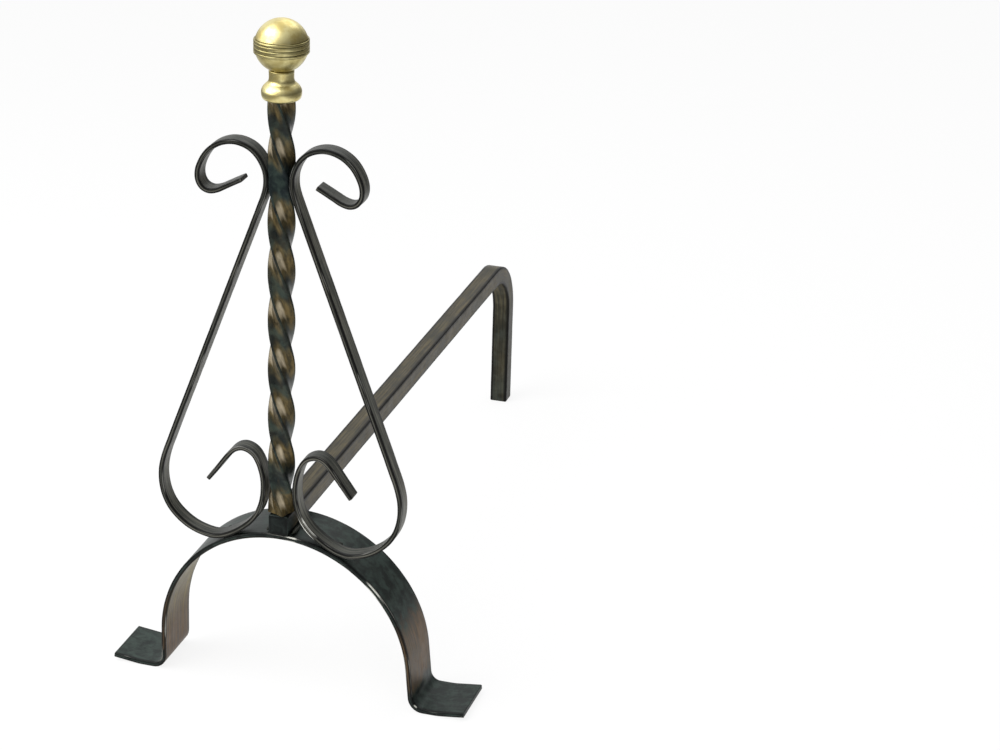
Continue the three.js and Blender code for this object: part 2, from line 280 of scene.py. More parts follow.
@dataclass(frozen=True)
class Forging:
    """How far a forged surface wanders inside its nominal size, in millimetres."""

    wave: float
    wave_size: float
    dint: float
    dint_size: float
    seed: float

    def depth(self, place: Vector) -> float:
        """How far the surface lies in at a place."""
        shift = Vector((self.seed, -self.seed, self.seed * 0.5))
        slow = noise.noise(place / self.wave_size + shift)
        quick = noise.noise(place / self.dint_size - shift)
        return self.wave * (0.5 + 0.5 * slow) + self.dint * max(0.0, quick)


def bar_object(
    name: str,
    path: Path,
    section: Callable[[float], Section],
    side: Callable[[float], Vector],
    forging: Forging,
    spacing: float = 1.5,
    end_round: float = 0.7,
) -> bpy.types.Object:
    """Sweeps a section along a path into one closed, softly forged bar.

    Args:
        name: the piece's name.
        path: the centreline, in millimetres from the post's axis on the floor.
        section: the section at a share of the length, 0 to 1.
        side: the direction of the section's width at a run in millimetres.
        forging: how the surface wanders.
        spacing: the distance between rings.
        end_round: the radius that rounds both ends.

    Returns:
        The new object, in metres in the row frame.
    """
    rings: list[tuple[float, float]] = []
    steps = 4
    for step in range(steps):
        angle = math.pi / 2 * step / steps
        rings.append((end_round * (1 - math.cos(angle)), end_round * (1 - math.sin(angle))))
    count = max(2, round((path.length - 2 * end_round) / spacing))
    for step in range(count + 1):
        rings.append((end_round + (path.length - 2 * end_round) * step / count, 0.0))
    for step in range(steps - 1, -1, -1):
        angle = math.pi / 2 * step / steps
        rings.append((path.length - end_round * (1 - math.cos(angle)),
                      end_round * (1 - math.sin(angle))))
    vertices: list[Vector] = []
    lays: list[float] = []
    shades_and_grime: list[float] = []
    size = 0
    for run, inset in rings:
        centre, along = path.place(run), path.heading(run)
        across = side(run)
        up = along.cross(across).normalized()
        outline = section(run / path.length).points(inset)
        size = len(outline)
        rim = inset / end_round
        for point in outline:
            place = centre + across * point.across + up * point.up
            out = across * point.normal_across + up * point.normal_up
            place -= out * forging.depth(place) * (1 - END_CALM * rim)
            vertices.append(AXIS + place * MM)
            lays.extend((run, point.across, point.up))
            shades_and_grime.append(RIM_SHADE * rim if rim else point.edge)
    faces: list[Sequence[int]] = []
    for ring in range(len(rings) - 1):
        for i in range(size):
            a, b = ring * size + i, ring * size + (i + 1) % size
            faces.append((a, b, b + size, a + size))
    last = (len(rings) - 1) * size
    for first, run in ((0, rings[0][0]), (last, rings[-1][0])):
        centre = AXIS + path.place(run) * MM
        start = len(vertices)
        for i in range(size):
            vertices.append(centre.lerp(vertices[first + i], CAP_RING))
            lays.extend(lays[3 * (first + i):3 * (first + i) + 3])
            shades_and_grime.append(CAP_SHADE)
        for i in range(size):
            j = (i + 1) % size
            quad = (first + i, first + j, start + j, start + i)
            faces.append(quad if first else tuple(reversed(quad)))
        cap = range(start, start + size)
        faces.append(tuple(cap) if first else tuple(reversed(cap)))
    return mesh_object(name, vertices, faces, lays, shades_and_grime)


def mesh_object(
    name: str,
    vertices: Sequence[Vector],
    faces: Sequence[Sequence[int]],
    lays: Sequence[float],
    shades_and_grime: Sequence[float],
) -> bpy.types.Object:
    """Makes a smooth mesh object that carries its pattern's lay and its weight of painted shade
    and tarnishing.

    Args:
        name: the object's name.
        vertices: corner places, in metres.
        faces: corner numbers of each face.
        lays: three numbers a vertex, along, across and up in millimetres.
        shades_and_grime: one number a vertex, 1 on a bar's edges, which sets the painted
        edge shade and glints; on a turned piece, tarnished creases and painted shade.

    Returns:
        The new object, in the scene.
    """
    mesh = bpy.data.meshes.new(name)
    mesh.from_pydata([tuple(v) for v in vertices], [], [tuple(f) for f in faces])
    lay = mesh.attributes.new("lay", "FLOAT_VECTOR", "POINT")
    lay.data.foreach_set("vector", lays)
    wear = mesh.attributes.new("wear", "FLOAT", "POINT")
    wear.data.foreach_set("value", shades_and_grime)
    mesh.validate()
    mesh.shade_smooth()
    piece = bpy.data.objects.new(name, mesh)
    bpy.context.scene.collection.objects.link(piece)
    return piece


def turned_object(
    name: str, profile: Sequence[tuple[float, float, float]], segments: int = 128
) -> bpy.types.Object:
    """Turns a profile about the post's axis.

    Args:
        name: the piece's name.
        profile: radius and height, in millimetres, and darkening of each point, from one end
        on the axis, or on a bore, to the other; the darkening is tarnished creases and
        painted shade under the ball.
        segments: steps round the axis.

    Returns:
        The new object.
    """
    vertices: list[Vector] = []
    lays: list[float] = []
    shades_and_grime: list[float] = []
    for radius, height, grime_and_shade in profile:
        for step in range(segments):
            angle = math.tau * step / segments
            place = Vector((radius * math.cos(angle), radius * math.sin(angle), height))
            vertices.append(AXIS + place * MM)
            lays.extend((height, angle * radius, radius))
            shades_and_grime.append(grime_and_shade)
    faces: list[Sequence[int]] = []
    for ring in range(len(profile) - 1):
        for i in range(segments):
            a, b = ring * segments + i, ring * segments + (i + 1) % segments
            faces.append((a, b, b + segments, a + segments))
    faces.append(tuple(reversed(range(segments))))
    last = (len(profile) - 1) * segments
    faces.append(tuple(range(last, last + segments)))
    return mesh_object(name, vertices, faces, lays, shades_and_grime)


def smooth_line(control: Sequence[Vector], steps: int = 16) -> list[Vector]:
    """A centripetal Catmull-Rom line through control points.

    Args:
        control: the points that it goes through.
        steps: how many pieces each span is cut into.

    Returns:
        The points of the line.
    """
    ends = [control[0] * 2 - control[1], *control, control[-1] * 2 - control[-2]]
    line: list[Vector] = []
    for i in range(1, len(ends) - 2):
        p0, p1, p2, p3 = ends[i - 1:i + 3]
        d0 = math.sqrt((p1 - p0).length)
        d1 = math.sqrt((p2 - p1).length)
        d2 = math.sqrt((p3 - p2).length)
        m1 = ((p1 - p0) / d0 - (p2 - p0) / (d0 + d1) + (p2 - p1) / d1) * d1
        m2 = ((p2 - p1) / d1 - (p3 - p1) / (d1 + d2) + (p3 - p2) / d2) * d1
        for step in range(steps):
            t = step / steps
            line.append(p1 * (2 * t ** 3 - 3 * t ** 2 + 1) + m1 * (t ** 3 - 2 * t ** 2 + t)
                        + p2 * (3 * t ** 2 - 2 * t ** 3) + m2 * (t ** 3 - t ** 2))
    line.append(control[-1])
    return line


def hand_in(piece: bpy.types.Object, node: str, finish: bpy.types.Material) -> None:
    """Puts a finished piece on the frame, in place of its plain solid.

    Args:
        piece: the detailed piece.
        node: the solid that it stands for.
        finish: the piece's material.
    """
    piece.data.materials.clear()
    piece.data.materials.append(finish)
    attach(piece, BODY)
    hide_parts(node)
    LOG.info("%s stands for %s, %d faces", piece.name, node, len(piece.data.polygons))


# ---------------------------------------------------------------- finishes


class Grain(Enum):
    """Which way the marks in an iron surface run, as their length and width in mm."""

    ROLLED = (30.0, 1.2)
    HAMMERED = (8.0, 3.0)
    WELDED = (1.6, 1.6)


@dataclass(frozen=True)
class Marks:
    """What an iron finish is patterned by, as sockets.

    The place is in metres on the object, and the lay is along, across and up the bar's
    section in millimetres. The edge is 1 on the edges. Streaks run along the bar, the
    mottle is fine clouds and the patches are broad ones. The height is in metres.
    """

    add: Adder
    place: Socket
    lay: Socket
    edge: Socket
    streak: Socket
    mottle: Socket
    patch: Socket
    height: Socket
    normal: Socket
    facing: Socket


@dataclass(frozen=True)
class BlackIron:
    """Forged mild steel under black wax paint, with bronze wax rubbed over it by hand.

    The paint is a greenish black with a greyer bloom on the flats. Its edges are darkened
    with painted shade, faces that point up can take painted shade as well, and a few
    edges carry painted glints. The bronze wax shows as olive brown where a cloth reached,
    streaked along the bar; on a twist it is laid as painted light as well, on the faces
    that turn four ways, with a pale painted highlight in their middles. A satin wax coat
    gives the soft highlights. Heights, spots and quiet bands are in millimetres above the
    floor, or from the post's axis on the floor.
    """

    name: str
    # The black that the painted edge shade darkens towards.
    black: str = "#060707"
    paint: str = "#151b19"
    bloom: str = "#303835"
    brushed: str = "#55554f"
    brush: float = 0.0
    rubbed: str = "#5c5140"
    worn: str = "#8d8064"
    rub_by_height: tuple[tuple[float, float], ...] = ((0.0, 0.1),)
    ramp_top: float = 430.0
    painted_start: float = 0.0
    inner_rub: float = 0.0
    inner_worn: str = "#8a7f4e"
    # Marks on a twist, facing four ways: bronze wax that is painted light as well, and a pale
    # painted highlight.
    turn_rub_and_light: float = 0.0
    painted_highlight: float = 0.0
    highlight_tone: str = "#b5a78c"
    facing_turn: float = 20.0
    quiet: tuple[tuple[float, float], ...] = ()
    # How strongly the edges are darkened with painted shade.
    edge_shade: float = 0.85
    # Painted shade on what faces up.
    top_shade: float = 0.0
    # Painted glints on the edges: their amount, their pale tone and spots where they gather.
    glint: float = 0.35
    glint_paint: str = "#c9c9c0"
    glint_spots: tuple[tuple[float, float, float, float], ...] = ()
    grain: Grain = Grain.ROLLED
    roughness: tuple[float, float] = (0.34, 0.52)
    edge_rough: float = 0.0
    specular: float = 0.22
    metallic: float = 0.35
    bump_mm: float = 0.05

    def marks(self, add: Adder) -> Marks:
        """Lays out the clouds, streaks and directions that the coats are patterned by."""
        place, lay, normal = add(Kind.PLACE), add(Kind.LAY), add(Kind.NORMAL)
        length, width = self.grain.value
        along = add(Kind.STRETCH, lay, (1 / length, 1 / width, 1 / width))
        streak = add(Kind.CLOUDS, along, 1.0, 5.0, 0.62)
        # Mottle of the brushed-on paint: clouds about 7 mm across, broken up to 1 mm.
        mottle = add(Kind.CLOUDS, place, 1 / (7 * MM), 5.0, 0.62, 0.4)
        # Where the cloth pressed harder: patches about 28 mm long.
        patch = add(Kind.CLOUDS, place, 1 / (28 * MM), 4.0, 0.58)
        # The clouds make the height ragged by 11 mm up or down, so no border is straight.
        wander = add(Kind.TIMES_PLUS, mottle, 22 * MM, add(Kind.Z_OF, place))
        height = add(Kind.MINUS, wander, 11 * MM)
        return Marks(add, place, lay, add(Kind.WEAR), streak, mottle, patch, height, normal,
                     add(Kind.Z_OF, normal))

    def rub(self, marks: Marks) -> Socket:
        """How much bronze wax was rubbed on at each place, from 0 to 1."""
        add = marks.add
        shares = add(Kind.RAMP, add(Kind.TIMES, marks.height, 1 / (self.ramp_top * MM)))
        stops = shares.node.color_ramp.elements
        stops.remove(stops[1])
        stops[0].position = self.rub_by_height[0][0] / self.ramp_top
        for at, _ in self.rub_by_height[1:]:
            stops.new(at / self.ramp_top)
        for stop, (_, amount) in zip(stops, self.rub_by_height):
            stop.color = (amount, amount, amount, 1.0)
        uneven = add(Kind.REMAP, marks.patch, 0.3, 0.58, 0.45, 1.0)
        amount = add(Kind.TIMES, shares, uneven)
        if self.painted_start:
            reached = add(Kind.REMAP, add(Kind.X_OF, marks.lay), 0.3 * self.painted_start,
                          self.painted_start)
            amount = add(Kind.TIMES, amount, reached)
        return amount

    def inside(self, marks: Marks) -> tuple[Socket, Socket]:
        """The wax rubbed on the inner face of a bend: its amount and its tone."""
        add = marks.add
        inner = add(Kind.REMAP, add(Kind.Z_OF, marks.lay), -1.2, -0.5, self.inner_rub, 0.0)
        amount = add(Kind.TIMES, inner, add(Kind.REMAP, marks.patch, 0.3, 0.58, 0.6, 1.0))
        upper = add(Kind.REMAP, marks.height, 20 * MM, 52 * MM)
        high_tone = add(Kind.BLEND, upper, linear(self.worn), linear(self.inner_worn))
        streaked = add(Kind.REMAP, marks.streak, 0.34, 0.68)
        return amount, add(Kind.BLEND, streaked, linear(self.rubbed), high_tone)

    def strokes_and_highlights(self, marks: Marks, wax: Socket) -> Iterator[tuple[Socket, object]]:
        """The marks drawn down the twist from four sides: a broad one of bronze wax that is
        painted light as well, and a pale painted highlight in its middle.

        Args:
            marks: what the finish is patterned by.
            wax: the rubbed wax's tone.

        Returns:
            Each mark's amount and tone.
        """
        add = marks.add
        reaches = []
        for turn in (self.facing_turn, self.facing_turn + 90):
            way = (math.cos(math.radians(turn)), math.sin(math.radians(turn)), 0.0)
            reaches.append(add(Kind.UNSIGNED, add(Kind.DOT, marks.normal, way)))
        # 1 where a face meets one of the four ways squarely, 0.7 halfway between two of them.
        met = add(Kind.LARGER, *reaches)
        shown = add(Kind.REMAP, marks.edge, 0.82, 1.0, 1.0, 0.0)
        for middle, half in self.quiet:
            away = add(Kind.UNSIGNED, add(Kind.MINUS, marks.height, middle * MM))
            far = add(Kind.REMAP, away, 0.2 * half * MM, 1.8 * half * MM)
            shown = add(Kind.TIMES, shown, far)
        # Bronze wax and painted light: the brown goes where a face turns towards one of the four
        # ways.
        broad = add(Kind.TIMES, add(Kind.REMAP, met, 0.78, 0.97, 0.0, self.turn_rub_and_light),
                    add(Kind.REMAP, marks.patch, 0.32, 0.55, 0.25, 1.0))
        yield add(Kind.TIMES, broad, shown), wax
        # Painted highlight: a pale tone where a face meets one of the ways squarely and tilts up.
        narrow = add(Kind.TIMES, add(Kind.REMAP, met, 0.93, 0.99),
                     add(Kind.REMAP, marks.facing, 0.0, 0.14))
        streaked_highlight = add(Kind.REMAP, marks.streak, 0.25, 0.6, 0.4 * self.painted_highlight, self.painted_highlight)
        narrow = add(Kind.TIMES, narrow, streaked_highlight)
        yield add(Kind.TIMES, narrow, shown), linear(self.highlight_tone)

    def painted_glints(self, marks: Marks) -> Socket:
        """How much painted glint lies on the edges, from 0 to 1, in lines a few centimetres long
        and round the spots.
        """
        add = marks.add
        edge_lay = add(Kind.STRETCH, marks.lay, (1 / 24, 0.3, 0.9))
        lines = add(Kind.CLOUDS, edge_lay, 1.0, 2.0)
        glint_paint = add(Kind.REMAP, lines, 0.57, 0.68, 0.0, self.glint)
        # Each spot gathers painted glints on the edges near a place, broken into lines.
        for x, y, z, radius in self.glint_spots:
            away = add(Kind.DISTANCE, marks.place, tuple(AXIS + Vector((x, y, z)) * MM))
            near = add(Kind.REMAP, away, 0.4 * radius * MM, radius * MM, 1.0, 0.0)
            broken = add(Kind.REMAP, lines, 0.38, 0.55, 0.35, 1.0)
            glint_paint = add(Kind.LARGER, glint_paint, add(Kind.TIMES, near, broken))
        return add(Kind.TIMES, add(Kind.REMAP, marks.edge, 0.9, 1.0), glint_paint)

    def coats(self, marks: Marks) -> Iterator[tuple[Socket, object]]:
        """The coats over the paint, from the lowest up: each one's amount and tone."""
        add, streak = marks.add, marks.streak
        if self.brush:
            yield (add(Kind.REMAP, streak, 0.36, 0.66, 0.15 * self.brush, self.brush),
                   linear(self.brushed))
        wax = add(Kind.BLEND, add(Kind.REMAP, streak, 0.34, 0.68), linear(self.rubbed),
                  linear(self.worn))
        yield self.rub(marks), wax
        if self.inner_rub:
            yield self.inside(marks)
        if self.painted_highlight:
            yield from self.strokes_and_highlights(marks, wax)
        if self.top_shade:
            # Painted shade: what faces up is darkened back towards the paint's own tone.
            top_shaded = add(Kind.REMAP, streak, 0.3, 0.7, self.top_shade, 0.6 * self.top_shade)
            yield (add(Kind.TIMES, add(Kind.REMAP, marks.facing, 0.3, 0.85), top_shaded),
                   linear(self.paint))
        # Painted shade: the edges are darkened towards the black.
        yield (add(Kind.TIMES, add(Kind.REMAP, marks.edge, 0.1, 0.9), self.edge_shade),
               linear(self.black))
        # Painted glints: a pale tone on the edges.
        yield self.painted_glints(marks), linear(self.glint_paint)

    def build(self) -> bpy.types.Material:
        """Makes the material."""
        material = bpy.data.materials.new(self.name)
        add = cleared(material)
        marks = self.marks(add)
        colour = add(Kind.BLEND, add(Kind.REMAP, marks.mottle, 0.36, 0.66),
                     linear(self.paint), linear(self.bloom))
        for amount, tone in self.coats(marks):
            colour = add(Kind.BLEND, amount, colour, tone)
        # Grain of the paint, drawn at 0.9 mm so that it shows at this size.
        grit = add(Kind.CLOUDS, marks.place, 1 / (0.9 * MM), 3.0, 0.5)
        relief = add(Kind.TIMES_PLUS, marks.streak, 1.1, grit)
        bump = add(Kind.BUMP, relief, 0.55, self.bump_mm * MM)
        shine = add(Kind.TIMES_PLUS, marks.streak, 0.5, add(Kind.TIMES, marks.mottle, 0.5))
        rough = add(Kind.PLUS, add(Kind.REMAP, shine, 0.3, 0.7, *self.roughness),
                    add(Kind.REMAP, marks.edge, 0.3, 0.95, 0.0, self.edge_rough))
        add(Kind.SURFACE,
            add(Kind.METAL, colour, self.metallic, rough, bump, self.specular))
        return material


@dataclass(frozen=True)
class TurnedBrass:
    """Yellow brass, turned on a lathe and polished, with brown tarnished creases and painted shade
    on the ball's underside.

    The eye sees a pale gold that mirrors the room softly, and very fine rings round it.
    """

    name: str = "turned_polished_brass"
    bright: str = "#f0e5a8"
    deep: str = "#cdbb78"
    tarnish_and_shade: str = "#4f4e33"
    roughness: tuple[float, float] = (0.27, 0.42)
    ring_mm: float = 0.55

    def build(self) -> bpy.types.Material:
        """Makes the material."""
        material = bpy.data.materials.new(self.name)
        add = cleared(material)
        # Clouds of handling, about 7 mm across.
        cloud = add(Kind.CLOUDS, add(Kind.PLACE), 1 / (7 * MM), 4.0, 0.6)
        # Turning rings: real ones are finer, these are drawn at half a millimetre to show.
        ringed = add(Kind.STRETCH, add(Kind.LAY), (1 / self.ring_mm, 0.02, 1 / self.ring_mm))
        rings = add(Kind.CLOUDS, ringed, 1.0, 3.0)
        colour = add(Kind.BLEND, add(Kind.REMAP, cloud, 0.3, 0.72), linear(self.bright),
                     linear(self.deep))
        # Tarnished creases and grooves, and painted shade on the ball's underside, in one brown
        # tone.
        dirt_and_shade = add(Kind.TIMES, add(Kind.WEAR), add(Kind.REMAP, cloud, 0.2, 0.6, 0.5, 0.9))
        colour = add(Kind.BLEND, dirt_and_shade, colour, linear(self.tarnish_and_shade))
        bump = add(Kind.BUMP, rings, 0.35, 0.02 * MM)
        shine = add(Kind.TIMES_PLUS, rings, 0.35, add(Kind.TIMES, cloud, 0.65))
        rough = add(Kind.REMAP, shine, 0.3, 0.7, *self.roughness)
        add(Kind.SURFACE, add(Kind.METAL, colour, 1.0, rough, bump))
        return material


@dataclass(frozen=True)
class ThreadedSteel:
    """Plain zinc-grey steel of the hidden stud, with the ridges of its thread."""

    name: str = "threaded_stud_steel"
    tone: str = "#8f9192"
    dark: str = "#5c5e60"
    pitch_mm: float = 1.0

    def build(self) -> bpy.types.Material:
        """Makes the material."""
        material = bpy.data.materials.new(self.name)
        add = cleared(material)
        # A wave texture of scale 0.314 repeats once a unit, so this is one ridge a pitch.
        thread = add(Kind.THREAD, add(Kind.PLACE), 0.314 / (self.pitch_mm * MM))
        colour = add(Kind.BLEND, thread, linear(self.dark), linear(self.tone))
        bump = add(Kind.BUMP, thread, 0.8, 0.3 * MM)
        rough = add(Kind.REMAP, thread, 0.0, 1.0, 0.5, 0.32)
        add(Kind.SURFACE, add(Kind.METAL, colour, 1.0, rough, bump))
        return material


# ---------------------------------------------------------------- pieces


@dataclass
class BaseStrap:
    """The flat strap bent into an arch, with its ends turned out into feet."""

    width: float = 39.7
    thickness: float = 3.1
    arch_radius: float = 81.1
    crown: float = 104.9
    front: float = -5.5
    splay: float = 3.0
    foot_bend: float = 7.5
    foot_flat: float = 7.0
    toe_bend: float = 40.0
    toe_lift: float = 7.0
    toe: float = 14.6
    feet_set: float = 4.6
    corner: float = 0.75
    step: float = 0.7

    def half_line(self) -> list[tuple[float, float]]:
        """The right half's centreline from the crown to the toe, as X and Z."""
        middle = self.arch_radius - self.thickness / 2
        down = 90 - self.splay
        splay = math.radians(self.splay)
        arch_drop = middle * (1 - math.cos(math.radians(down)))
        leg = self.crown - self.thickness - arch_drop - self.foot_bend * (1 - math.sin(splay))
        moves = [
            (math.radians(down) * middle, -down),
            (leg / math.cos(splay), 0.0),
            (math.radians(down) * self.foot_bend, down),
            (self.foot_flat, 0.0),
            (math.radians(self.toe_lift) * self.toe_bend, self.toe_lift),
            (self.toe, 0.0),
        ]
        x, z, angle = 0.0, self.crown - self.thickness / 2, 0.0
        line = [(x, z)]
        for length, turn in moves:
            steps = max(2, round(length / self.step))
            for _ in range(steps):
                half_turn = math.radians(turn / steps) / 2
                x += length / steps * math.cos(angle + half_turn)
                z += length / steps * math.sin(angle + half_turn)
                angle += 2 * half_turn
                line.append((x, z))
        return line

    def build(self, finish: bpy.types.Material) -> None:
        """Forges the strap and hands it in."""
        right = self.half_line()
        whole = [(-x, z) for x, z in reversed(right[1:])] + right
        middle_y = self.front + self.width / 2
        points = [
            Vector((x + self.feet_set * (1 - z / self.crown), middle_y, z)) for x, z in whole
        ]
        section = Section(self.width, self.thickness, self.corner, spacing=2.2)
        forging = Forging(wave=0.1, wave_size=26, dint=0.1, dint_size=7, seed=3.1)
        piece = bar_object(
            "strap_arch_and_feet", Path(points), lambda share: section,
            lambda run: Vector((0, 1, 0)), forging, spacing=1.6, end_round=0.6)
        hand_in(piece, "base_strap", finish)


@dataclass
class LogBar:
    """The square bar that carries the logs, bent down into the rear leg."""

    stock: float = 12.7
    front: float = -6.35
    back: float = 490.0
    top: float = 117.9
    bend: float = 44.0
    corner: float = 1.1

    def build(self, finish: bpy.types.Material) -> None:
        """Bends the bar and hands it in."""
        half = self.stock / 2
        middle_z = self.top - half
        radius = self.bend - half
        turn_y = self.back - self.bend
        points = [Vector((0, self.front, middle_z)), Vector((0, turn_y, middle_z))]
        steps = 60
        for step in range(1, steps + 1):
            angle = math.pi / 2 * step / steps
            points.append(Vector((0, turn_y + radius * math.sin(angle),
                                  middle_z - radius * (1 - math.cos(angle)))))
        points.append(Vector((0, self.back - half, 0)))
        section = Section(self.stock, self.stock, self.corner, spacing=1.9)
        forging = Forging(wave=0.09, wave_size=30, dint=0.09, dint_size=9, seed=7.7)
        piece = bar_object(
            "bar_for_logs", Path(points), lambda share: section,
            lambda run: Vector((-1, 0, 0)), forging, spacing=2.2, end_round=0.9)
        hand_in(piece, "log_bar", finish)


@dataclass
class TwistedPost:
    """The square post, twisted hot, with a plain length where the scrolls meet it."""

    stock: float = 12.2
    corner: float = 1.0
    hollow: float = 0.45
    foot: float = 118.2
    top: float = 376.8
    quarter_turn: float = 30.6
    plain_low: float = 324.9
    plain_high: float = 332.1

    def angle(self, height: float) -> float:
        """How far the section is turned at a height, in radians, left-handed."""
        below = max(0.0, self.plain_low - height)
        above = max(0.0, height - self.plain_high)
        return (below - above) / self.quarter_turn * math.pi / 2

    def build(self, finish: bpy.types.Material) -> None:
        """Twists the post and hands it in."""
        points = [Vector((0, 0, self.foot)), Vector((0, 0, self.top))]
        section = Section(self.stock, self.stock, self.corner, self.hollow, corner_steps=5,
                          spacing=0.8, reach_after=2.4, reach_before=0.5)
        forging = Forging(wave=0.05, wave_size=18, dint=0.06, dint_size=6, seed=11.3)

        def side(run: float) -> Vector:
            turn = self.angle(self.foot + run)
            return Vector((math.cos(turn), math.sin(turn), 0))

        piece = bar_object(
            "post_hot_twisted", Path(points), lambda share: section, side, forging,
            spacing=0.9, end_round=0.35)
        hand_in(piece, "post_twisted", finish)


# Points that the right scroll's centreline is bent through, from the upper tip to the
# lower one, in millimetres: out from the joint with the post, up from the arch's crown.
SCROLL_LINE = (
    (15, 222.6), (20.3, 219.8), (25.4, 217), (30, 214.6), (34.9, 213.5), (39.1, 214.9),
    (41.9, 218.8), (42.4, 224.5), (40.3, 231.1), (35.9, 237.8), (30.2, 242.3),
    (24.5, 244.5), (19, 245), (13.6, 243.9), (9, 241.6), (5, 237.8), (2.1, 233),
    (0.45, 228.2), (0, 223.7), (0.25, 219.8), (1.6, 214.3), (4.2, 207.1),
    (23.7, 155.1), (42.4, 105.1), (58.2, 63.1), (62.4, 51.6), (65.9, 41.9), (68, 32.6),
    (68.1, 24), (66.4, 15.4), (62.5, 7.4), (56.4, 0.8), (49.4, -3.9), (42.1, -6.6),
    (35.5, -7.7), (30.8, -7.1), (26.7, -5.7), (21.6, -3), (16.2, 0.7), (11, 5.3),
    (6.9, 10.8), (4.25, 16.6), (2.7, 23), (2.2, 28.5), (2.35, 34.5), (3.5, 40.5),
    (5.3, 45.6), (8, 50), (11.9, 52.7), (16.3, 53.4), (20.7, 51.6), (24.3, 47.9),
    (31, 38.9), (37.6, 30),
)


class Hand(Enum):
    """Which side of the post a scroll stands on, as the sign of its X."""

    LEFT = -1
    RIGHT = 1


@dataclass
class Scroll:
    """One flat strip bent into a scroll: a top curl, a long straight, a belly, a hook."""

    hand: Hand
    width: float = 11.0
    thickness: float = 3.1
    tip: float = 2.7
    tip_run: float = 26.0
    joint: float = 7.95
    corner: float = 0.7

    def build(self, finish: bpy.types.Material) -> None:
        """Bends the strip and hands it in."""
        side = self.hand.name.lower()
        node = f"scroll_{side}"
        lowest = min(z for _, z in SCROLL_LINE) - self.thickness / 2
        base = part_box(node)[0].z / MM - lowest
        sign = self.hand.value
        control = [Vector((sign * (self.joint + x), 0, base + z)) for x, z in SCROLL_LINE]
        path = Path(smooth_line(control))

        def section(share: float) -> Section:
            drawn = min(1.0, min(share, 1 - share) * path.length / self.tip_run)
            thick = self.tip + (self.thickness - self.tip) * drawn
            return Section(self.width, thick, self.corner, spacing=1.3)

        forging = Forging(wave=0.08, wave_size=15, dint=0.07, dint_size=5, seed=5.2 * sign)
        piece = bar_object(
            f"strip_scroll_{side}", path, section, lambda run: Vector((0, 1, 0)), forging,
            spacing=1.2, end_round=0.6)
        hand_in(piece, node, finish)


